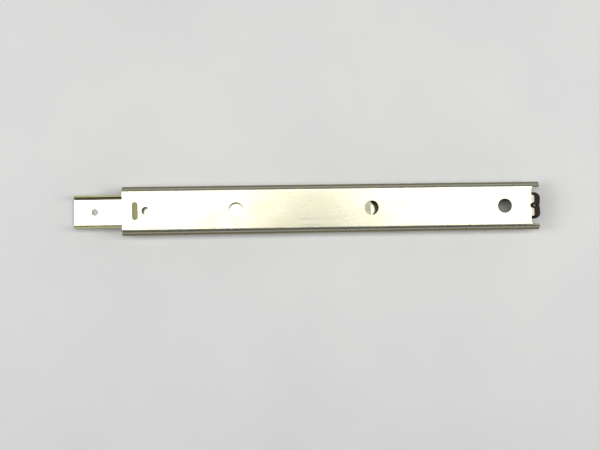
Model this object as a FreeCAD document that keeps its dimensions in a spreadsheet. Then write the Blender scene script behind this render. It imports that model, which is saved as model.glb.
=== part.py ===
import FreeCAD, Part
import math
import os
import Sketcher

# Two-member ball-bearing drawer slide, 12 in class, lying on its drawer member.
#
# Row frame, millimetres: the origin is the centre of the cabinet member's front screw hole, on the
# cabinet mounting face.  +X runs to the rear of the cabinet, so the drawer opens towards -X.
# +Y is up in use, and +Z is the outward normal of the cabinet mounting face.
# The slide rests 35.5 mm open.  Each piece is drawn in its own frame, with X from its own front
# end and Z from the cabinet mounting face, and its Placement puts it into the row frame.

SHEET_NAME = "Sizes"
BALLS_PER_SIDE = 8
EDGE_TOLERANCE = 0.01
PAST = 1.0  # how far a cutting outline runs past the material

SIZES = [
    # cabinet member: a rolled steel channel whose web is the cabinet mounting face
    ("rail_length", 304.0, "length of both members"),
    ("rail_height", 35.3, "height of the slide in use"),
    ("slide_thickness", 12.7, "cabinet mounting face to drawer mounting face"),
    ("cabinet_sheet", 1.5, "sheet thickness of the cabinet member"),
    ("cabinet_depth", 10.5, "mounting face to the outside of the lips"),
    ("cabinet_corner", 4.25, "outside radius of the flange bends"),
    ("lip_opening", 26.4, "clear width between the lips"),
    ("front_bow_width", 18.0, "chord of the concave front edge of the web"),
    ("front_bow_radius", 20.3, "radius of the concave front edge of the web"),
    ("stop_place", 9.2, "front end to the pressed front stop"),
    ("stop_width", 4.1, "width of the pressed front stop"),
    ("stop_length", 12.9, "height in use of the pressed front stop"),
    ("stop_press", 1.0, "how far the front stop is pushed in"),
    ("front_hole_place", 16.8, "front end to the cabinet screw hole"),
    ("front_hole_size", 5.8, "diameter of the cabinet screw hole"),
    ("access_place", 81.5, "front end to the first access hole"),
    ("access_pitch", 98.4, "pitch of the access holes"),
    ("access_size", 10.5, "diameter of the access holes"),
    # cabinet member, rear end: the web stops short and two tongues hold the bumper
    ("web_end", 298.0, "front end to the rear edge of the web"),
    ("web_corner_end", 299.2, "front end to the web edge beside the flanges"),
    ("web_cut_height", 28.2, "width of the cut between the flanges"),
    ("web_dip_height", 19.0, "width of the straight middle of the web edge"),
    ("web_sweep_radius", 5.5, "radius of the web edge's swept corners"),
    ("notch_radius", 1.9, "radius of the web edge between the tongues"),
    ("tongue_gap", 3.2, "clear width between the two tongues"),
    ("tongue_span", 15.4, "overall width across the two tongues"),
    ("tongue_root", 297.6, "front end to the bend of the tongues"),
    ("tongue_end", 300.4, "front end to the tongue tips"),
    ("tongue_drop", 0.6, "how far the tongue tips are bent in"),
    ("tongue_corner", 1.0, "rounding of the tongues' outer corners"),
    ("stud_hole_size", 4.6, "diameter of the round cut in the tongues for the bumper's stud"),
    # rear bumper: rubber block with two lobes and a stud that stands between the tongues
    ("bumper_front", 296.4, "cabinet member's front end to the bumper's face"),
    ("bumper_rear", 304.9, "cabinet member's front end to the lobes' ends"),
    ("bumper_width", 19.4, "width across the lobes"),
    ("lobe_radius", 4.4, "radius of the lobes"),
    ("lobe_turn", 15.0, "angle, in degrees, that each lobe turns in past its end"),
    ("stud_place", 300.4, "cabinet member's front end to the centre of the stud"),
    ("stud_size", 2.3, "diameter of the stud"),
    ("stud_top", 0.7, "mounting face to the top of the stud"),
    ("stud_dome", 0.8, "rounding of the stud's top"),
    ("valley_width", 2.9, "width of the valley between the lobes"),
    ("valley_depth", 2.0, "depth of the valley between the lobes"),
    ("bumper_top", 0.5, "mounting face to the top of the lobes"),
    ("bumper_foot", 11.1, "mounting face to the underside of the bumper"),
    ("bumper_shelf", 2.3, "mounting face to the shelf under the tongues"),
    ("bumper_shoulder", 300.7, "cabinet member's front end to the lobes' shoulder"),
    ("bumper_edge", 0.7, "rounding of the bumper's upper edge"),
    # drawer member: a channel that faces the cabinet member, with a raceway in each flange
    ("drawer_out", 35.5, "how far the drawer member stands out at rest"),
    ("drawer_sheet", 1.2, "sheet thickness of the drawer member"),
    ("drawer_height", 23.5, "height of the drawer member in use"),
    ("drawer_corner", 2.7, "outside radius of the drawer member's bends"),
    ("drawer_lip", 3.0, "mounting face to the flange edges"),
    ("drawer_slant", 1.1, "how far the flanges' front ends slope back"),
    ("drawer_hole_place", 14.7, "drawer member's front end to its front screw hole"),
    ("drawer_hole_size", 5.0, "diameter of the drawer screw holes"),
    ("tab_place", 296.3, "drawer member's front end to the rear face of its stop tab"),
    ("tab_width", 8.0, "width of the stop tab"),
    ("tab_top", 1.9, "mounting face to the top of the stop tab"),
    ("tab_window", 9.4, "length of the window that the stop tab is bent from"),
    ("tab_relief", 0.4, "clearance of the window beside the stop tab"),
    # ball cage and balls
    ("ball_size", 4.7625, "ball diameter, 3/16 in"),
    ("ball_depth", 5.25, "mounting face to the ball centres"),
    ("ball_play", 0.05, "gap between a ball and each raceway"),
    ("race_radius", 2.5, "radius of the raceways in the drawer member"),
    ("cage_rear", 179.7, "cabinet member's front end to the cage's rear edge at rest"),
    ("cage_length", 88.8, "length of the ball cage"),
    ("cage_sheet", 0.7, "sheet thickness of the ball cage"),
    ("cage_top", 1.8, "mounting face to the top of the cage's web"),
    ("cage_reach", 8.3, "mounting face to the lower edges of the cage's arms"),
    ("cage_corner", 1.6, "outside radius of the cage's bends"),
    ("pocket_size", 4.9, "diameter of the ball pockets"),
    ("ball_pitch", 11.0, "distance from ball to ball"),
]


class Size:
    """A length that carries its number and the sheet expression that drives it."""

    def __init__(self, number, text):
        self.number = number
        self.text = text

    def _joined(self, other, sign, number):
        text = other.text if isinstance(other, Size) else repr(float(other))
        return Size(number, "(%s %s %s)" % (self.text, sign, text))

    def __add__(self, other):
        return self._joined(other, "+", self.number + number_of(other))

    def __sub__(self, other):
        return self._joined(other, "-", self.number - number_of(other))

    def __mul__(self, other):
        return self._joined(other, "*", self.number * number_of(other))

    def __truediv__(self, other):
        return self._joined(other, "/", self.number / number_of(other))

    def __neg__(self):
        return Size(-self.number, "(-1 * %s)" % self.text)


def number_of(value):
    """Return the plain number of a Size or of a number."""
    return value.number if isinstance(value, Size) else float(value)


def text_of(value):
    """Return the expression text of a Size or of a number."""
    return value.text if isinstance(value, Size) else repr(float(value))


def write_sheet(doc):
    """Write the driving dimensions into the spreadsheet and return them as Size values."""
    sheet = doc.addObject("Spreadsheet::Sheet", SHEET_NAME)
    cells = {}
    for row, (alias, number, meaning) in enumerate(SIZES, start=1):
        sheet.set("A%d" % row, meaning)
        sheet.set("B%d" % row, str(number))
        sheet.setAlias("B%d" % row, alias)
        cells[alias] = Size(number, "%s.%s" % (SHEET_NAME, alias))
    doc.recompute()
    return cells


# ---------------------------------------------------------------- bodies, sketches, features

def new_body(doc, name, x=0.0, z=0.0):
    """Add a body with the node's name, placed along X and Z by expressions."""
    body = doc.addObject("PartDesign::Body", name)
    body.Label = name
    place(body, x, 0.0, z)
    return body


def place(item, x, y, z):
    """Drive an object's Placement from the sheet."""
    start = FreeCAD.Vector(number_of(x), number_of(y), number_of(z))
    item.Placement = FreeCAD.Placement(start, FreeCAD.Rotation())
    item.setExpression("Placement.Base.x", text_of(x))
    item.setExpression("Placement.Base.y", text_of(y))
    item.setExpression("Placement.Base.z", text_of(z))


def new_sketch(body, name, plane_role, offset=0.0):
    """Add a sketch on one of the body's origin planes, moved along the plane's normal."""
    sketch = body.newObject("Sketcher::SketchObject", name)
    plane = [item for item in body.Origin.OriginFeatures if item.Role == plane_role][0]
    sketch.AttachmentSupport = (plane, [""])
    sketch.MapMode = "FlatFace"
    sketch.AttachmentOffset = FreeCAD.Placement(
        FreeCAD.Vector(0, 0, number_of(offset)), FreeCAD.Rotation())
    sketch.setExpression("AttachmentOffset.Base.z", text_of(offset))
    return sketch


def bind(sketch, kind, geometry, size):
    """Add a dimension to a sketch and drive it from the sheet."""
    index = sketch.addConstraint(Sketcher.Constraint(kind, *geometry, number_of(size)))
    sketch.setExpression("Constraints[%d]" % index, text_of(size))


def pin_point(sketch, curve, point, x, y):
    """Fix a sketch point at driven distances from the sketch origin."""
    bind(sketch, "DistanceX", (-1, 1, curve, point), x)
    bind(sketch, "DistanceY", (-1, 1, curve, point), y)


def draw_circle(sketch, x, y, diameter):
    """Draw a circle with a driven centre and diameter."""
    centre = FreeCAD.Vector(number_of(x), number_of(y), 0)
    circle = Part.Circle(centre, FreeCAD.Vector(0, 0, 1), number_of(diameter) / 2)
    curve = sketch.addGeometry(circle, False)
    pin_point(sketch, curve, 3, x, y)
    bind(sketch, "Diameter", (curve,), diameter)


def arc_between(start, end, radius):
    """Return an arc from start to end and whether it runs clockwise.

    A positive radius turns left from start to end, a negative one turns right; it is the
    shorter of the two arcs.
    """
    middle = (start + end) * 0.5
    chord = end - start
    side = 1 if radius > 0 else -1
    rise = math.sqrt(radius ** 2 - (chord.Length / 2) ** 2)
    across = FreeCAD.Vector(-chord.y, chord.x, 0).normalize()
    centre = middle + across * (side * rise)
    first = start if side > 0 else end
    last = end if side > 0 else start
    angle_first = math.atan2(first.y - centre.y, first.x - centre.x)
    angle_last = math.atan2(last.y - centre.y, last.x - centre.x)
    circle = Part.Circle(centre, FreeCAD.Vector(0, 0, 1), abs(radius))
    return Part.ArcOfCircle(circle, angle_first, angle_last), side < 0


def draw_outline(sketch, corners):
    """Draw a closed outline through driven corners.

    Each corner is (x, y) for a straight run to the next corner, or (x, y, radius, side) for an
    arc to it, where side is 1 for an arc that turns left and -1 for one that turns right.
    """
    points = [FreeCAD.Vector(number_of(c[0]), number_of(c[1]), 0) for c in corners]
    ends = []
    for index, corner in enumerate(corners):
        start = points[index]
        end = points[(index + 1) % len(points)]
        if len(corner) == 2:
            curve = sketch.addGeometry(Part.LineSegment(start, end), False)
            ends.append((curve, 1, 2))
        else:
            arc, clockwise = arc_between(start, end, number_of(corner[2]) * corner[3])
            curve = sketch.addGeometry(arc, False)
            ends.append((curve, 2, 1) if clockwise else (curve, 1, 2))
            bind(sketch, "Radius", (curve,), corner[2])
    for index, corner in enumerate(corners):
        curve, first, _ = ends[index]
        before, _, last = ends[index - 1]
        sketch.addConstraint(Sketcher.Constraint("Coincident", before, last, curve, first))
        pin_point(sketch, curve, first, corner[0], corner[1])


def draw_box(sketch, left, right, low, high):
    """Draw a rectangle with driven sides."""
    draw_outline(sketch, [(left, low), (right, low), (right, high), (left, high)])


def draw_slot(sketch, x, width, length):
    """Draw a slot with round ends, long along the sketch's Y axis and centred on its X axis."""
    half = width / 2
    reach = (length - width) / 2
    corners = [(x + half, -reach), (x + half, reach), (x - half, reach), (x - half, -reach)]
    points = [FreeCAD.Vector(number_of(across), number_of(along), 0) for across, along in corners]
    right = sketch.addGeometry(Part.LineSegment(points[0], points[1]), False)
    left = sketch.addGeometry(Part.LineSegment(points[2], points[3]), False)
    for line, first in ((right, 0), (left, 2)):
        pin_point(sketch, line, 1, *corners[first])
        pin_point(sketch, line, 2, *corners[first + 1])
    for start, end, side in ((right, left, 1), (left, right, -1)):
        centre_y = reach * side
        centre = FreeCAD.Vector(number_of(x), number_of(centre_y), 0)
        circle = Part.Circle(centre, FreeCAD.Vector(0, 0, 1), number_of(half))
        turn = 0 if side > 0 else math.pi
        arc = sketch.addGeometry(Part.ArcOfCircle(circle, turn, turn + math.pi), False)
        sketch.addConstraint(Sketcher.Constraint("Coincident", start, 2, arc, 1))
        sketch.addConstraint(Sketcher.Constraint("Coincident", arc, 2, end, 1))
        bind(sketch, "DistanceY", (-1, 1, arc, 3), centre_y)


def pad(body, sketch, length, name, reverse=False, middle=False):
    """Add material from a sketch."""
    feature = body.newObject("PartDesign::Pad", name)
    feature.Profile = sketch
    feature.Length = number_of(length)
    feature.setExpression("Length", text_of(length))
    feature.Reversed = reverse
    feature.Midplane = middle
    sketch.Document.recompute()
    return feature


def pocket(body, sketch, length, name, reverse=False, middle=False):
    """Remove material with a sketch, and stop if nothing was removed."""
    before = body.Shape.Volume
    feature = body.newObject("PartDesign::Pocket", name)
    feature.Profile = sketch
    feature.Length = number_of(length)
    feature.setExpression("Length", text_of(length))
    feature.Reversed = reverse
    feature.Midplane = middle
    sketch.Document.recompute()
    if body.Shape.Volume >= before:
        raise RuntimeError("%s cut nothing" % name)
    return feature


def mirror_across_height(body, originals, name):
    """Repeat features on the other side of the slide's middle plane."""
    plane = [item for item in body.Origin.OriginFeatures if item.Role == "XZ_Plane"][0]
    feature = body.newObject("PartDesign::Mirrored", name)
    feature.Originals = originals
    feature.MirrorPlane = (plane, [""])
    body.Tip = feature
    body.Document.recompute()
    return feature


def pattern_along(body, originals, pitch, count, name):
    """Repeat features along the slide at a driven pitch."""
    line = [item for item in body.Origin.OriginFeatures if item.Role == "X_Axis"][0]
    feature = body.newObject("PartDesign::LinearPattern", name)
    feature.Originals = originals
    feature.Direction = (line, [""])
    feature.Occurrences = count
    span = pitch * (count - 1)
    feature.Length = number_of(span)
    feature.setExpression("Length", text_of(span))
    body.Tip = feature
    body.Document.recompute()
    return feature


def long_edges(shape, height, depth):
    """Name the edges that run along X at plus or minus a height and at a depth below the face."""
    names = []
    for index, edge in enumerate(shape.Edges, start=1):
        ends = [vertex.Point for vertex in edge.Vertexes]
        along = len(ends) == 2 and abs(ends[0].x - ends[1].x) > 1
        at_height = all(abs(abs(end.y) - height) < EDGE_TOLERANCE for end in ends)
        at_depth = all(abs(end.z + depth) < EDGE_TOLERANCE for end in ends)
        if along and at_height and at_depth:
            names.append("Edge%d" % index)
    return names


def fillet(body, edges, radius, name):
    """Round named edges of the body's last feature."""
    base = body.Tip
    feature = body.newObject("PartDesign::Fillet", name)
    feature.Base = (base, edges)
    feature.Radius = number_of(radius)
    feature.setExpression("Radius", text_of(radius))
    body.Document.recompute()
    return feature


def round_bends(body, spots, radius, name):
    """Round the long edges at the given (height, depth) spots, on both sides."""
    edges = []
    for height, depth in spots:
        edges += long_edges(body.Tip.Shape, number_of(height), number_of(depth))
    return fillet(body, edges, radius, name)


# ---------------------------------------------------------------- cabinet member

def roll_cabinet_channel(body, c):
    """Make the cabinet member's C-shaped channel."""
    half = c["rail_height"] / 2
    wall = c["cabinet_sheet"]
    profile = new_sketch(body, "ChannelOutside", "YZ_Plane")
    draw_box(profile, -half, half, -c["cabinet_depth"], 0.0)
    pad(body, profile, c["rail_length"], "Channel")
    outside_spots = [(half, 0.0), (half, c["cabinet_depth"])]
    round_bends(body, outside_spots, c["cabinet_corner"], "OuterBends")

    hollow = new_sketch(body, "ChannelHollow", "YZ_Plane")
    inside_half = half - wall
    inside_radius = c["cabinet_corner"] - wall
    inside_low = -c["cabinet_depth"] + wall
    top_low = -wall - inside_radius
    bottom_high = inside_low + inside_radius
    draw_outline(hollow, [
        (-inside_half + inside_radius, inside_low),
        (inside_half - inside_radius, inside_low, inside_radius, 1),
        (inside_half, bottom_high),
        (inside_half, top_low, inside_radius, 1),
        (inside_half - inside_radius, -wall),
        (-inside_half + inside_radius, -wall, inside_radius, 1),
        (-inside_half, top_low),
        (-inside_half, bottom_high, inside_radius, 1),
    ])
    pocket(body, hollow, c["rail_length"], "Hollow", reverse=True)

    mouth = new_sketch(body, "ChannelMouth", "YZ_Plane")
    mouth_half = c["lip_opening"] / 2
    draw_box(mouth, -mouth_half, mouth_half, -c["cabinet_depth"] - PAST, bottom_high)
    pocket(body, mouth, c["rail_length"], "Mouth", reverse=True)


def shape_front_end(body, c):
    """Cut the web's concave front edge, press the front stop in and pierce the screw hole."""
    bow = new_sketch(body, "FrontBow", "XY_Plane")
    bow_half = c["front_bow_width"] / 2
    draw_outline(bow, [
        (-PAST, -bow_half),
        (0.0, -bow_half, c["front_bow_radius"], 1),
        (0.0, bow_half),
        (-PAST, bow_half),
    ])
    pocket(body, bow, c["cabinet_sheet"], "FrontEdge")

    recess = new_sketch(body, "StopRecessOutline", "XY_Plane")
    draw_slot(recess, c["stop_place"], c["stop_width"], c["stop_length"])
    pocket(body, recess, c["stop_press"], "StopRecess")

    boss = new_sketch(body, "StopBossOutline", "XY_Plane", -c["cabinet_sheet"])
    draw_slot(boss, c["stop_place"], c["stop_width"], c["stop_length"])
    pad(body, boss, c["stop_press"], "StopBoss", reverse=True)

    screw_hole = new_sketch(body, "ScrewHoleOutline", "XY_Plane")
    draw_circle(screw_hole, c["front_hole_place"], 0.0, c["front_hole_size"])
    pocket(body, screw_hole, c["cabinet_sheet"], "ScrewHole")


def pierce_access_holes(body, c):
    """Pierce the row of access holes that a driver reaches the drawer screws through."""
    outline = new_sketch(body, "AccessHoleOutline", "XY_Plane")
    draw_circle(outline, c["access_place"], 0.0, c["access_size"])
    hole = pocket(body, outline, c["cabinet_sheet"], "AccessHole")
    pattern_along(body, [hole], c["access_pitch"], 3, "AccessHoles")


def shape_rear_end(body, c):
    """Cut the web short between the flanges and bend in the two tongues over the bumper."""
    cut_half = c["web_cut_height"] / 2
    dip_half = c["web_dip_height"] / 2
    notch_half = c["tongue_gap"] / 2
    outline = new_sketch(body, "RearCutOutline", "XY_Plane")
    draw_outline(outline, [
        (c["rail_length"] + PAST, -cut_half),
        (c["rail_length"] + PAST, cut_half),
        (c["web_corner_end"], cut_half, c["web_sweep_radius"], 1),
        (c["web_end"], dip_half),
        (c["web_end"], notch_half, c["notch_radius"], 1),
        (c["web_end"], -notch_half),
        (c["web_end"], -dip_half, c["web_sweep_radius"], 1),
        (c["web_corner_end"], -cut_half),
    ])
    pocket(body, outline, c["cabinet_sheet"], "RearCut")
    bend_tongues(body, c)


def bend_tongues(body, c):
    """Add the two tongues, bent in a little, and cut them round for the bumper's stud."""
    notch_half = c["tongue_gap"] / 2
    side_view = new_sketch(body, "TongueSideView", "XZ_Plane", -notch_half)
    draw_outline(side_view, [
        (c["tongue_root"], -c["cabinet_sheet"]),
        (c["tongue_end"], -c["cabinet_sheet"] - c["tongue_drop"]),
        (c["tongue_end"], -c["tongue_drop"]),
        (c["tongue_root"], 0.0),
    ])
    tongue = pad(body, side_view, (c["tongue_span"] - c["tongue_gap"]) / 2, "Tongue", reverse=True)
    mirror_across_height(body, [tongue], "Tongues")
    fillet(body, tongue_corners(body.Tip.Shape, c), c["tongue_corner"], "TongueCorners")

    stud_room = new_sketch(body, "StudRoomOutline", "XY_Plane")
    draw_circle(stud_room, c["stud_place"], 0.0, c["stud_hole_size"])
    pocket(body, stud_room, c["cabinet_sheet"] + c["tongue_drop"], "StudRoom")


def tongue_corners(shape, c):
    """Name the upright edges at the tongues' outer corners."""
    names = []
    for index, edge in enumerate(shape.Edges, start=1):
        at_tip = all(abs(end.X - c["tongue_end"].number) < EDGE_TOLERANCE for end in edge.Vertexes)
        middle = abs(edge.CenterOfMass.y)
        outside = abs(middle - c["tongue_span"].number / 2) < EDGE_TOLERANCE
        if at_tip and outside:
            names.append("Edge%d" % index)
    return names


def make_cabinet_rail(doc, c):
    """Make the outer member that is fastened to the cabinet."""
    body = new_body(doc, "cabinet_rail", -c["front_hole_place"])
    roll_cabinet_channel(body, c)
    shape_front_end(body, c)
    pierce_access_holes(body, c)
    shape_rear_end(body, c)
    return body


# ---------------------------------------------------------------- rear bumper

def draw_lobes(sketch, c):
    """Draw the bumper from above: a block whose rear is two round lobes with a flat between."""
    half = c["bumper_width"] / 2
    radius = c["lobe_radius"]
    centre_x = c["bumper_rear"] - radius
    centre_y = half - radius
    turn = math.radians(c["lobe_turn"].number)
    turn_text = "(%s * 1deg)" % c["lobe_turn"].text
    cosine = Size(math.cos(turn), "cos%s" % turn_text)
    sine = Size(math.sin(turn), "sin%s" % turn_text)
    tip_x = centre_x + radius * cosine
    tip_y = centre_y - radius * sine
    draw_outline(sketch, [
        (c["bumper_front"], -half),
        (centre_x, -half, radius, 1),
        (centre_x + radius, -centre_y, radius, 1),
        (tip_x, -tip_y),
        (tip_x, tip_y, radius, 1),
        (centre_x + radius, centre_y, radius, 1),
        (centre_x, half),
        (c["bumper_front"], half),
    ])


def make_rear_bumper(doc, c):
    """Make the two-lobed rubber bumper that the drawer member closes over."""
    body = new_body(doc, "rear_bumper", -c["front_hole_place"])
    outline = new_sketch(body, "BumperOutline", "XY_Plane", -c["bumper_foot"])
    draw_lobes(outline, c)
    pad(body, outline, c["bumper_foot"] - c["bumper_top"], "Block")
    fillet(body, upper_rear_edges(body.Tip.Shape, c), c["bumper_edge"], "SoftEdge")

    half = c["bumper_width"] / 2
    shelf = new_sketch(body, "ShelfOutline", "XY_Plane", -c["bumper_top"])
    draw_box(shelf, c["bumper_front"] - PAST, c["bumper_shoulder"], -half - PAST, half + PAST)
    pocket(body, shelf, c["bumper_shelf"] - c["bumper_top"], "Shelf")

    valley = new_sketch(body, "ValleyOutline", "XY_Plane", -c["bumper_top"])
    valley_half = c["valley_width"] / 2
    draw_box(valley, c["stud_place"], c["bumper_rear"] + PAST, -valley_half, valley_half)
    pocket(body, valley, c["valley_depth"], "Valley")

    stud = new_sketch(body, "StudOutline", "XY_Plane", -c["bumper_top"] - c["valley_depth"])
    draw_circle(stud, c["stud_place"], 0.0, c["stud_size"])
    pad(body, stud, c["bumper_top"] + c["valley_depth"] - c["stud_top"], "Stud")
    fillet(body, stud_top_edges(body.Tip.Shape, c), c["stud_dome"], "StudDome")
    return body


def stud_top_edges(shape, c):
    """Name the round edge at the top of the stud."""
    names = []
    for index, edge in enumerate(shape.Edges, start=1):
        if all(abs(end.Z + c["stud_top"].number) < EDGE_TOLERANCE for end in edge.Vertexes):
            names.append("Edge%d" % index)
    return names


def upper_rear_edges(shape, c):
    """Name the upper edges of the bumper block, apart from the one along its front face."""
    names = []
    for index, edge in enumerate(shape.Edges, start=1):
        at_top = all(abs(end.Z + c["bumper_top"].number) < EDGE_TOLERANCE for end in edge.Vertexes)
        at_front = edge.CenterOfMass.x < c["bumper_front"].number + EDGE_TOLERANCE
        if at_top and not at_front:
            names.append("Edge%d" % index)
    return names


# ---------------------------------------------------------------- drawer member

def roll_drawer_channel(body, c):
    """Make the drawer member's channel with a raceway pressed into each flange."""
    half = c["drawer_height"] / 2
    wall = c["drawer_sheet"]
    floor = -c["slide_thickness"]
    lip = -c["drawer_lip"]
    profile = new_sketch(body, "ChannelOutside", "YZ_Plane")
    draw_box(profile, -half, half, floor, lip)
    pad(body, profile, c["rail_length"], "Channel")
    round_bends(body, [(half, c["slide_thickness"])], c["drawer_corner"], "OuterBends")

    hollow = new_sketch(body, "ChannelHollow", "YZ_Plane")
    inside = half - wall
    radius = c["drawer_corner"] - wall
    web_top = floor + wall
    draw_outline(hollow, [
        (-inside + radius, web_top),
        (inside - radius, web_top, radius, 1),
        (inside, web_top + radius),
        (inside, lip + PAST),
        (-inside, lip + PAST),
        (-inside, web_top + radius, radius, 1),
    ])
    pocket(body, hollow, c["rail_length"], "Hollow", reverse=True)

    race_x = raceway_height(c)
    race_z = -c["ball_depth"]
    rib_radius = c["race_radius"] + wall
    flange_middle = half - wall / 2
    rib_rise = math.sqrt(rib_radius.number ** 2 - (race_x - flange_middle).number ** 2)
    rise_text = "sqrt((%s)^2 - (%s)^2)" % (rib_radius.text, (race_x - flange_middle).text)
    rise = Size(rib_rise, rise_text)
    lift = Size(min(rib_rise, (lip - race_z).number), "min(%s; %s)" % (rise.text, (lip - race_z).text))
    rib = new_sketch(body, "RibOutline", "YZ_Plane")
    inner_x = race_x - Size(
        math.sqrt(rib_radius.number ** 2 - lift.number ** 2),
        "sqrt((%s)^2 - (%s)^2)" % (rib_radius.text, lift.text))
    draw_outline(rib, [
        (inner_x, race_z + lift, rib_radius, 1),
        (inner_x, race_z - lift),
        (flange_middle, race_z - lift),
        (flange_middle, race_z + lift),
    ])
    inner_rib = pad(body, rib, c["rail_length"], "Rib")
    mirror_across_height(body, [inner_rib], "Ribs")

    groove = new_sketch(body, "RacewayOutline", "YZ_Plane")
    draw_circle(groove, race_x, race_z, c["race_radius"] * 2)
    raceway = pocket(body, groove, c["rail_length"], "Raceway", reverse=True)
    mirror_across_height(body, [raceway], "Raceways")


def ball_height(c):
    """Return the distance of the ball centres from the slide's middle plane."""
    return c["rail_height"] / 2 - c["cabinet_sheet"] - c["ball_play"] - c["ball_size"] / 2


def raceway_height(c):
    """Return the distance of the drawer member's raceway centres from the middle plane."""
    return ball_height(c) - c["ball_size"] / 2 - c["ball_play"] + c["race_radius"]


def slope_front_ends(body, c):
    """Slope the front ends of the flanges back towards their edges."""
    bend_top = -c["slide_thickness"] + c["drawer_corner"]
    side_view = new_sketch(body, "FrontSlopeSideView", "XZ_Plane")
    draw_outline(side_view, [
        (-PAST, bend_top),
        (0.0, bend_top),
        (c["drawer_slant"], -c["drawer_lip"]),
        (c["drawer_slant"], PAST),
        (-PAST, PAST),
    ])
    pocket(body, side_view, c["rail_height"], "FrontSlope", middle=True)


def bend_stop_tab(body, c):
    """Bend the stop tab up from the web near the rear end, leaving its window."""
    tab_half = c["tab_width"] / 2
    window_half = tab_half + c["tab_relief"]
    tab_front = c["tab_place"] - c["drawer_sheet"]
    window = new_sketch(body, "TabWindowOutline", "XY_Plane", -c["slide_thickness"] + c["drawer_sheet"])
    draw_box(window, tab_front - c["tab_window"], tab_front, -window_half, window_half)
    pocket(body, window, c["drawer_sheet"], "TabWindow")

    tab = new_sketch(body, "TabOutline", "XY_Plane", -c["slide_thickness"])
    draw_box(tab, tab_front, c["tab_place"], -tab_half, tab_half)
    pad(body, tab, c["slide_thickness"] - c["tab_top"], "StopTab")


def pierce_drawer_holes(body, c):
    """Pierce the drawer screw holes, one at the front and three opposite the access holes."""
    web_top = -c["slide_thickness"] + c["drawer_sheet"]
    front = new_sketch(body, "FrontHoleOutline", "XY_Plane", web_top)
    draw_circle(front, c["drawer_hole_place"], 0.0, c["drawer_hole_size"])
    pocket(body, front, c["drawer_sheet"], "FrontHole")

    row = new_sketch(body, "RowHoleOutline", "XY_Plane", web_top)
    draw_circle(row, c["access_place"], 0.0, c["drawer_hole_size"])
    hole = pocket(body, row, c["drawer_sheet"], "RowHole")
    pattern_along(body, [hole], c["access_pitch"], 3, "RowHoles")


def make_drawer_rail(doc, c):
    """Make the inner member that is fastened to the drawer."""
    body = new_body(doc, "drawer_rail", -c["front_hole_place"] - c["drawer_out"])
    roll_drawer_channel(body, c)
    slope_front_ends(body, c)
    bend_stop_tab(body, c)
    pierce_drawer_holes(body, c)
    return body


# ---------------------------------------------------------------- ball cage and balls

def cage_front(c):
    """Return the cage's front end in the cabinet member's frame."""
    return c["cage_rear"] - c["cage_length"]


def first_ball(c):
    """Return the first ball's distance from the cage's front end."""
    return (c["cage_length"] - c["ball_pitch"] * (BALLS_PER_SIDE - 1)) / 2


def make_ball_cage(doc, c):
    """Make the sheet-steel cage that spaces the balls."""
    body = new_body(doc, "ball_cage", cage_front(c) - c["front_hole_place"])
    wall = c["cage_sheet"]
    half = ball_height(c) + wall / 2
    top = -c["cage_top"]
    low = -c["cage_reach"]
    profile = new_sketch(body, "CageOutside", "YZ_Plane")
    draw_box(profile, -half, half, low, top)
    pad(body, profile, c["cage_length"], "Channel")
    round_bends(body, [(half, c["cage_top"])], c["cage_corner"], "OuterBends")

    hollow = new_sketch(body, "CageHollow", "YZ_Plane")
    inside = half - wall
    radius = c["cage_corner"] - wall
    draw_outline(hollow, [
        (-inside, low - PAST),
        (inside, low - PAST),
        (inside, top - wall - radius, radius, 1),
        (inside - radius, top - wall),
        (-inside + radius, top - wall, radius, 1),
        (-inside, top - wall - radius),
    ])
    pocket(body, hollow, c["cage_length"], "Hollow", reverse=True)

    pockets = new_sketch(body, "PocketOutline", "XZ_Plane")
    draw_circle(pockets, first_ball(c), -c["ball_depth"], c["pocket_size"])
    hole = pocket(body, pockets, c["rail_height"], "BallPocket", middle=True)
    pattern_along(body, [hole], c["ball_pitch"], BALLS_PER_SIDE, "BallPockets")
    return body


def make_ball(doc, c, name, number, side):
    """Make one ball, counted from the front, in the upper or lower raceway."""
    ball = doc.addObject("Part::Sphere", name)
    ball.Label = name
    ball.setExpression("Radius", text_of(c["ball_size"] / 2))
    along = cage_front(c) + first_ball(c) + c["ball_pitch"] * (number - 1) - c["front_hole_place"]
    place(ball, along, ball_height(c) * side, -c["ball_depth"])
    return ball


def make_balls(doc, c):
    """Make both rows of balls."""
    balls = []
    for number in range(1, BALLS_PER_SIDE + 1):
        balls.append(make_ball(doc, c, "upper_ball_%d" % number, number, 1))
        balls.append(make_ball(doc, c, "lower_ball_%d" % number, number, -1))
    return balls


# ---------------------------------------------------------------- check and write

def check_document(doc, pieces):
    """Stop if a feature failed or a piece has no valid single solid."""
    for item in doc.Objects:
        if "Invalid" in item.State or "Error" in item.State:
            raise RuntimeError("%s failed: %s" % (item.Name, item.State))
    for piece in pieces:
        shape = piece.Shape
        if shape.isNull() or not shape.isValid() or len(shape.Solids) != 1:
            raise RuntimeError("%s is not one valid solid" % piece.Label)


def write_pieces(pieces):
    """Write each piece to its own STEP file."""
    os.makedirs("parts", exist_ok=True)
    for piece in pieces:
        piece.Shape.exportStep("parts/%s.step" % piece.Label)
        box = piece.Shape.BoundBox
        print("%-14s volume %9.2f  x %8.2f %8.2f  y %7.2f %7.2f  z %7.2f %7.2f" % (
            piece.Label, piece.Shape.Volume,
            box.XMin, box.XMax, box.YMin, box.YMax, box.ZMin, box.ZMax))


def main():
    """Build the slide and write its pieces."""
    doc = FreeCAD.newDocument("DrawerSlide")
    cells = write_sheet(doc)
    pieces = [
        make_cabinet_rail(doc, cells),
        make_rear_bumper(doc, cells),
        make_drawer_rail(doc, cells),
        make_ball_cage(doc, cells),
    ]
    pieces += make_balls(doc, cells)
    doc.recompute()
    check_document(doc, pieces)
    write_pieces(pieces)


main()
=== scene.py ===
import math

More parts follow.
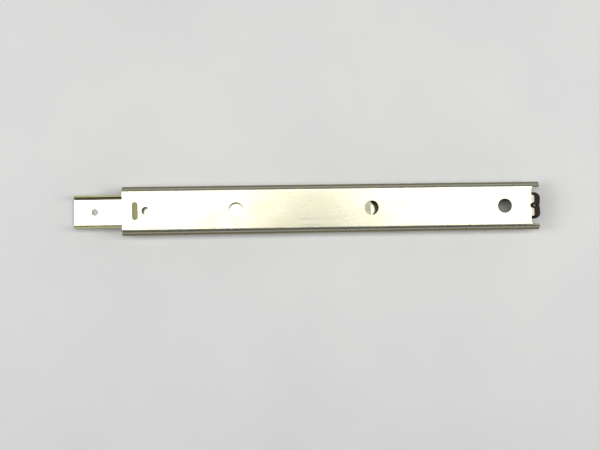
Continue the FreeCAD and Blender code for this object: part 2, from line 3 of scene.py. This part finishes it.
import bpy
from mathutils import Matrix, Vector


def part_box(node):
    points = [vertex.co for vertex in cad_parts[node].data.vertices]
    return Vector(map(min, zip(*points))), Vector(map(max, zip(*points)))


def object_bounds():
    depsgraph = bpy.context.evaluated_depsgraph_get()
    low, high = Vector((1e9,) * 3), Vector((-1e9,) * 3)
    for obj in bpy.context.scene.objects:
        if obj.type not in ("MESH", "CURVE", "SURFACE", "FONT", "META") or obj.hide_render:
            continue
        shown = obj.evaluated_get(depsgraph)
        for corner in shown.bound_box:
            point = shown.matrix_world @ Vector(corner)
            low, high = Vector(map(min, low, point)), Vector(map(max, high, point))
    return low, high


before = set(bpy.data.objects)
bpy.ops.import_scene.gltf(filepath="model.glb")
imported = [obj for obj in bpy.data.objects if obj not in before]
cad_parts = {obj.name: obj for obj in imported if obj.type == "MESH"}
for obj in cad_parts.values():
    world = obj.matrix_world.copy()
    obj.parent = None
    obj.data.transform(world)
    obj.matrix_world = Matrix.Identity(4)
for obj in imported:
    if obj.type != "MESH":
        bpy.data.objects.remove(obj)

CAD_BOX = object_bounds()

# ---------------------------------------------------------------- places, in metres

MM = 0.001
LOW = Vector(CAD_BOX[0])
RAIL_LOW, RAIL_HIGH = (Vector(corner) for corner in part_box("cabinet_rail"))
RAIL_MIDDLE = (RAIL_LOW + RAIL_HIGH) / 2
FLOOR_HEIGHT = LOW.z

KEY_HEIGHT = 0.80
KEY_PLACES = (-0.104, 0.466)
KEY_Y = 0.14
KEY_SIZE = (0.42, 0.32)
KEY_GLOW = 3.2
KEY_COLOR = (1.0, 0.985, 0.95)
TOP_PLACE = (0.182, 0.24)
TOP_SIZE = (0.18, 0.14)
TOP_GLOW = 3.8
FILL_APART = 1.35
FILL_HEIGHT = 0.95
FILL_SIZE = (0.70, 0.70)
FILL_GLOW = 8.4
WALL_TOP = 0.45
CEILING_FOOT = 0.75
WALL_GLOW = 0.50
CEILING_GLOW = 0.03
CAMERA_PLACE = (66.6 * MM, -35.4 * MM, 707.9 * MM)
CAMERA_TURN = (1.967, -3.532, -1.027)  # degrees
CAMERA_VIEW = 34.0  # degrees, across the frame

# depths below the cabinet mounting face
STOP_FLOOR = 1.0 * MM
DRAWER_LIP = 3.0 * MM
CABINET_WEB = (0.0, 1.5 * MM)
DRAWER_WEB = (11.5 * MM, 12.7 * MM)

TONGUE_ROOT = 281.3 * MM
TONGUE_REACH = 8.0 * MM
STUD_PLACE = (283.6 * MM, 0.0)
STUD_RADIUS = 1.2 * MM

# ---------------------------------------------------------------- node helpers


class Shader:
    """A material with a Principled shader and short ways to add nodes to it."""

    def __init__(self, name, metallic, roughness, color, ior=1.45):
        self.material = bpy.data.materials.new(name)
        self.material.use_nodes = True
        self.tree = self.material.node_tree
        self.surface = self.tree.nodes["Principled BSDF"]
        self.surface.inputs["Metallic"].default_value = metallic
        self.surface.inputs["Roughness"].default_value = roughness
        self.surface.inputs["Base Color"].default_value = (*color, 1.0)
        self.surface.inputs["IOR"].default_value = ior
        self.place = self.node("ShaderNodeTexCoord").outputs["Object"]

    def node(self, kind):
        """Add a node."""
        return self.tree.nodes.new(kind)

    def link(self, output, socket):
        """Connect an output to an input."""
        self.tree.links.new(output, socket)

    def axes(self, vector):
        """Return the X, Y and Z of a vector."""
        split = self.node("ShaderNodeSeparateXYZ")
        self.link(vector, split.inputs["Vector"])
        return split.outputs

    def facing(self, kind):
        """Return how far a normal, smooth ("Normal") or flat ("True Normal"), points up."""
        return self.axes(self.node("ShaderNodeNewGeometry").outputs[kind])["Z"]

    def stretched(self, scale):
        """Return the object's coordinates scaled along X, Y and Z."""
        mapping = self.node("ShaderNodeMapping")
        mapping.inputs["Scale"].default_value = scale
        self.link(self.place, mapping.inputs["Vector"])
        return mapping.outputs["Vector"]

    def noise(self, scale, detail=2.0, roughness=0.5, distortion=0.0):
        """Return a noise value; scale is a number or one number for each axis, per metre."""
        axes = scale if isinstance(scale, tuple) else (scale, scale, scale)
        item = self.node("ShaderNodeTexNoise")
        item.inputs["Scale"].default_value = 1.0
        item.inputs["Detail"].default_value = detail
        item.inputs["Roughness"].default_value = roughness
        item.inputs["Distortion"].default_value = distortion
        self.link(self.stretched(axes), item.inputs["Vector"])
        return item.outputs["Fac"]

    def ramp(self, value, start, end, low=0.0, high=1.0):
        """Map a value from start..end to low..high, held at both ends."""
        item = self.node("ShaderNodeMapRange")
        item.clamp = True
        item.inputs["From Min"].default_value = start
        item.inputs["From Max"].default_value = end
        item.inputs["To Min"].default_value = low
        item.inputs["To Max"].default_value = high
        self.link(value, item.inputs["Value"])
        return item.outputs["Result"]

    def math(self, operation, first, second):
        """Combine two values, each an output or a number."""
        item = self.node("ShaderNodeMath")
        item.operation = operation
        for socket, value in zip(item.inputs, (first, second)):
            if isinstance(value, (int, float)):
                socket.default_value = value
            else:
                self.link(value, socket)
        return item.outputs["Value"]

    def product(self, first, second):
        """Multiply two values."""
        return self.math("MULTIPLY", first, second)

    def absolute(self, value):
        """Return a value without its sign."""
        return self.math("ABSOLUTE", value, 0.0)

    def mix(self, factor, first, second):
        """Mix two colours, each an output or a tuple."""
        item = self.node("ShaderNodeMix")
        item.data_type = "RGBA"
        if isinstance(factor, (int, float)):
            item.inputs[0].default_value = factor
        else:
            self.link(factor, item.inputs[0])
        for socket, value in zip((item.inputs[6], item.inputs[7]), (first, second)):
            if isinstance(value, tuple):
                socket.default_value = (*value, 1.0)
            else:
                self.link(value, socket)
        return item.outputs[2]

    def painted_recess_shade(self, reach):
        """Return 1 in tight recesses, where painted shade goes, and 0 in the open."""
        item = self.node("ShaderNodeAmbientOcclusion")
        item.samples = 8
        item.inputs["Distance"].default_value = reach
        return self.ramp(item.outputs["AO"], 0.85, 0.35)

    def edge(self, width):
        """Return 1 along sharp edges and 0 on flat faces, and the softened normal."""
        soft = self.node("ShaderNodeBevel")
        soft.samples = 6
        soft.inputs["Radius"].default_value = width
        flat = self.node("ShaderNodeNewGeometry")
        dot = self.node("ShaderNodeVectorMath")
        dot.operation = "DOT_PRODUCT"
        self.link(soft.outputs["Normal"], dot.inputs[0])
        self.link(flat.outputs["Normal"], dot.inputs[1])
        return self.ramp(dot.outputs["Value"], 0.99, 0.8), soft.outputs["Normal"]

    def flat_at(self, height, reach):
        """Return 1 on upward flats within reach of a height, and 0 elsewhere."""
        away = self.absolute(self.math("SUBTRACT", self.axes(self.place)["Z"], height))
        level = self.ramp(away, 1.2 * reach, reach)
        return self.product(level, self.ramp(self.facing("True Normal"), 0.90, 0.98))

    def upright_within(self, low, high):
        """Return 1 on upright faces between two heights, and 0 elsewhere."""
        margin = 0.05 * MM
        height = self.axes(self.place)["Z"]
        above = self.ramp(height, low - margin, low + margin)
        below = self.ramp(height, high + margin, high - margin)
        tilt = self.absolute(self.facing("True Normal"))
        return self.product(self.product(above, below), self.ramp(tilt, 0.4, 0.2))

    def past_line(self, x, reach):
        """Return 1 past a line across X, within reach of the middle, and 0 elsewhere."""
        margin = 0.2 * MM
        place = self.axes(self.place)
        past = self.ramp(place["X"], x - margin, x + margin)
        return self.product(past, self.ramp(self.absolute(place["Y"]), reach + margin, reach))

    def near_axis(self, place, radius):
        """Return 1 on upward faces within a radius of an upright axis, and 0 elsewhere."""
        here = self.axes(self.place)
        along = self.math("SUBTRACT", here["X"], place[0])
        across = self.math("SUBTRACT", here["Y"], place[1])
        square = self.math("ADD", self.product(along, along), self.product(across, across))
        near = self.ramp(square, radius ** 2, 0.7 * radius ** 2)
        return self.product(near, self.ramp(self.facing("Normal"), 0.3, 0.8))

    def slope(self, low, high):
        """Return 1 where the normal's height lies between two values, and 0 elsewhere."""
        margin = 0.15
        above = self.ramp(self.facing("Normal"), low, low + margin)
        below = self.ramp(self.facing("Normal"), high, high - margin)
        return self.product(above, below)

    def bump(self, height, distance, normal=None):
        """Return a normal raised by a height value, over distance metres."""
        item = self.node("ShaderNodeBump")
        item.inputs["Distance"].default_value = distance
        self.link(height, item.inputs["Height"])
        if normal is not None:
            self.link(normal, item.inputs["Normal"])
        return item.outputs["Normal"]

    def finish(self, color, roughness, normal):
        """Connect colour, roughness and normal to the shader and return the material."""
        self.link(color, self.surface.inputs["Base Color"])
        self.link(roughness, self.surface.inputs["Roughness"])
        self.link(normal, self.surface.inputs["Normal"])
        return self.material


# ---------------------------------------------------------------- materials

def zinc_steel(name, shaded_flat_depth, web, polish):
    """Make zinc plate on rolled sheet: rolling lines, bloom, edge wear, dirt specks and painted shade.

    The upward flats at the given depth below the mounting face, a pressed floor or sheared edges,
    are rough and painted darker as shade. The cut edges of the web, which lies between two depths,
    carry painted shade, the rolled bends a painted dark reflection, and tight recesses painted shade.
    Polish is taken off the roughness.
    """
    clean = (0.80, 0.79, 0.64)
    warm = (0.75, 0.735, 0.56)
    grime_and_painted_shade = (0.13, 0.105, 0.04)
    bright = (0.90, 0.89, 0.78)
    dull_shade = (0.40, 0.385, 0.20)
    scuff = (0.58, 0.51, 0.43)
    shader = Shader(name, metallic=1.0, roughness=0.24, color=clean)
    lines = shader.noise((14.0, 2600.0, 2600.0), detail=3.0, roughness=0.6)
    broad_lines = shader.noise((5.0, 420.0, 420.0), detail=2.0)
    bloom = shader.noise(65.0, detail=4.0, roughness=0.55, distortion=0.6)
    grain = shader.noise(4200.0, detail=1.0)
    specks = shader.ramp(shader.noise(900.0, detail=2.0), 0.70, 0.78)
    worn, soft_normal = shader.edge(0.15 * MM)
    painted_recess_shade = shader.painted_recess_shade(4.0 * MM)
    dulled_and_shaded = shader.flat_at(-shaded_flat_depth, 0.12 * MM)
    scuffed = shader.past_line(TONGUE_ROOT, TONGUE_REACH)
    painted_cut_shade = shader.upright_within(-web[1], -web[0])
    painted_bend_reflection = shader.slope(0.02, 0.85)

    tone = shader.mix(shader.ramp(bloom, 0.38, 0.66), clean, warm)
    tone = shader.mix(shader.product(specks, 0.30), tone, grime_and_painted_shade)
    tone = shader.mix(shader.product(worn, 0.4), tone, bright)
    # painted dark reflection: the rolled bends are tinted dark
    tone = shader.mix(shader.product(painted_bend_reflection, 0.88), tone, grime_and_painted_shade)
    # painted shade on the upright cut edges of the web
    tone = shader.mix(shader.product(painted_cut_shade, 0.9), tone, grime_and_painted_shade)
    # painted shade: darkening in tight recesses found by ambient occlusion
    tone = shader.mix(shader.product(painted_recess_shade, 0.9), tone, grime_and_painted_shade)
    # painted shade: the pressed stop floor or the drawer lips are coloured darker; their extra
    # roughness is real
    tone = shader.mix(dulled_and_shaded, tone, dull_shade)
    tone = shader.mix(scuffed, tone, scuff)

    rough = shader.ramp(lines, 0.35, 0.65, 0.265 - polish, 0.295 - polish)
    rough = shader.math("ADD", rough, shader.ramp(bloom, 0.35, 0.65, -0.01, 0.02))
    rough = shader.math("ADD", rough, shader.ramp(broad_lines, 0.4, 0.6, -0.01, 0.01))
    rough = shader.math("ADD", rough, shader.product(specks, 0.12))
    rough = shader.math("ADD", rough, shader.product(dulled_and_shaded, 0.33))
    rough = shader.math("ADD", rough, shader.product(scuffed, 0.33))

    height = shader.math("ADD", lines, shader.product(grain, 0.6))
    normal = shader.bump(height, 0.002 * MM, soft_normal)
    return shader.finish(tone, rough, normal)


def cage_steel():
    """Make the cage's duller pressed sheet under a film of grease."""
    clean = (0.50, 0.49, 0.38)
    film = (0.36, 0.34, 0.22)
    shader = Shader("cage_steel_pressed", metallic=1.0, roughness=0.42, color=clean)
    lines = shader.noise((25.0, 1900.0, 1900.0), detail=3.0)
    smear = shader.noise((60.0, 160.0, 160.0), detail=4.0, distortion=0.8)
    grain = shader.noise(5200.0, detail=1.0)
    worn, soft_normal = shader.edge(0.12 * MM)
    tone = shader.mix(shader.ramp(smear, 0.4, 0.65), clean, film)
    tone = shader.mix(shader.product(worn, 0.5), tone, (0.75, 0.74, 0.68))
    rough = shader.ramp(lines, 0.3, 0.7, 0.38, 0.50)
    rough = shader.math("SUBTRACT", rough, shader.ramp(smear, 0.45, 0.7, 0.0, 0.14))
    height = shader.math("ADD", lines, grain)
    normal = shader.bump(height, 0.005 * MM, soft_normal)
    return shader.finish(tone, rough, normal)


def ball_steel():
    """Make polished bearing steel with a thin streaky film of grease."""
    clean = (0.80, 0.80, 0.79)
    film = (0.62, 0.58, 0.44)
    shader = Shader("ball_steel_polished", metallic=1.0, roughness=0.08, color=clean)
    smear = shader.noise(420.0, detail=3.0, distortion=0.5)
    scratches = shader.noise((900.0, 5200.0, 5200.0), detail=2.0)
    tone = shader.mix(shader.ramp(smear, 0.45, 0.68), clean, film)
    rough = shader.ramp(smear, 0.4, 0.7, 0.06, 0.20)
    normal = shader.bump(scratches, 0.001 * MM)
    return shader.finish(tone, rough, normal)


def bumper_rubber():
    """Make dark moulded rubber with a dusty bloom, a matt, finely grained skin and a painted highlight
    on the stud's top.
    """
    deep = (0.008, 0.006, 0.004)
    bloom_tone = (0.022, 0.017, 0.013)
    dust = (0.16, 0.14, 0.11)
    painted_stud_highlight = (0.16, 0.14, 0.10)
    shader = Shader("bumper_rubber_moulded", metallic=0.0, roughness=0.6, color=deep, ior=1.33)
    bloom = shader.noise(260.0, detail=4.0, roughness=0.6)
    grain = shader.noise(3800.0, detail=2.0)
    flecks = shader.ramp(shader.noise(1500.0, detail=1.0), 0.70, 0.76)
    worn, soft_normal = shader.edge(0.3 * MM)
    tone = shader.mix(shader.ramp(bloom, 0.4, 0.7), deep, bloom_tone)
    tone = shader.mix(shader.product(worn, 0.35), tone, bloom_tone)
    tone = shader.mix(shader.product(flecks, 0.4), tone, dust)
    # painted highlight: the upward top of the stud is coloured lighter
    tone = shader.mix(shader.near_axis(STUD_PLACE, STUD_RADIUS), tone, painted_stud_highlight)
    rough = shader.ramp(bloom, 0.3, 0.7, 0.50, 0.68)
    normal = shader.bump(grain, 0.02 * MM, soft_normal)
    return shader.finish(tone, rough, normal)


def dress(node, material):
    """Give a CAD node its material."""
    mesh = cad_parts[node].data
    mesh.materials.clear()
    mesh.materials.append(material)


def dress_all():
    """Give every CAD node its material."""
    dress("cabinet_rail", zinc_steel("zinc_cabinet", STOP_FLOOR, CABINET_WEB, 0.0))
    dress("drawer_rail", zinc_steel("zinc_drawer", DRAWER_LIP, DRAWER_WEB, 0.11))
    dress("ball_cage", cage_steel())
    dress("rear_bumper", bumper_rubber())
    polished = ball_steel()
    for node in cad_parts:
        if "_ball_" in node:
            dress(node, polished)


# ---------------------------------------------------------------- floor, light and camera

def make_floor():
    """Make a plain pale floor under the slide."""
    bpy.ops.mesh.primitive_plane_add(size=4.0, location=(RAIL_MIDDLE.x, 0.0, FLOOR_HEIGHT))
    floor = bpy.context.object
    floor.name = "floor"
    shader = Shader("floor_pale", metallic=0.0, roughness=0.7, color=(0.68, 0.68, 0.68))
    cloud = shader.noise(9.0, detail=3.0)
    tone = shader.mix(shader.ramp(cloud, 0.3, 0.7), (0.66, 0.66, 0.655), (0.70, 0.70, 0.69))
    shader.link(tone, shader.surface.inputs["Base Color"])
    floor.data.materials.append(shader.material)


def add_area_light(name, place, target, size, glow, color):
    """Add a rectangular soft light that points at a target and shines with an even glow."""
    light = bpy.data.lights.new(name, "AREA")
    light.shape = "RECTANGLE"
    light.size, light.size_y = size
    light.energy = glow * math.pi * size[0] * size[1]
    light.color = color
    item = bpy.data.objects.new(name, light)
    item.location = place
    item.rotation_euler = (Vector(target) - Vector(place)).to_track_quat("-Z", "Y").to_euler()
    bpy.context.collection.objects.link(item)


def make_studio():
    """Make the surround: pale walls at the horizon under a dark ceiling."""
    world = bpy.data.worlds.new("studio")
    world.use_nodes = True
    tree = world.node_tree
    place = tree.nodes.new("ShaderNodeTexCoord")
    split = tree.nodes.new("ShaderNodeSeparateXYZ")
    walls = tree.nodes.new("ShaderNodeMapRange")
    walls.interpolation_type = "SMOOTHSTEP"
    walls.inputs["From Min"].default_value = WALL_TOP
    walls.inputs["From Max"].default_value = CEILING_FOOT
    walls.inputs["To Min"].default_value = WALL_GLOW
    walls.inputs["To Max"].default_value = CEILING_GLOW
    tree.links.new(place.outputs["Generated"], split.inputs["Vector"])
    tree.links.new(split.outputs["Z"], walls.inputs["Value"])
    background = tree.nodes["Background"]
    background.inputs["Color"].default_value = (0.86, 0.88, 0.90, 1.0)
    tree.links.new(walls.outputs["Result"], background.inputs["Strength"])
    bpy.context.scene.world = world


def light_scene():
    """Light the slide with three lamps above, and the floor with two lamps past its ends."""
    for number, key_x in enumerate(KEY_PLACES, start=1):
        place = (key_x, KEY_Y, KEY_HEIGHT)
        below = (key_x, KEY_Y, 0.0)
        add_area_light("key_%d" % number, place, below, KEY_SIZE, KEY_GLOW, KEY_COLOR)
    place = (*TOP_PLACE, KEY_HEIGHT)
    below = (*TOP_PLACE, 0.0)
    add_area_light("key_top", place, below, TOP_SIZE, TOP_GLOW, KEY_COLOR)
    for number, side in enumerate((-1, 1), start=1):
        place = (RAIL_MIDDLE.x + side * FILL_APART, 0.0, FILL_HEIGHT)
        add_area_light("fill_%d" % number, place, RAIL_MIDDLE, FILL_SIZE, FILL_GLOW, (0.98, 0.99, 1.0))
    make_studio()


def add_camera():
    """Place the camera above the slide, looking almost straight down."""
    data = bpy.data.cameras.new("camera")
    data.sensor_fit = "HORIZONTAL"
    data.angle = math.radians(CAMERA_VIEW)
    data.clip_start = 0.01
    camera = bpy.data.objects.new("camera", data)
    camera.location = CAMERA_PLACE
    camera.rotation_euler = tuple(math.radians(angle) for angle in CAMERA_TURN)
    bpy.context.collection.objects.link(camera)
    bpy.context.scene.camera = camera
    bpy.context.scene.view_settings.view_transform = "Standard"


dress_all()
make_floor()
light_scene()
add_camera()
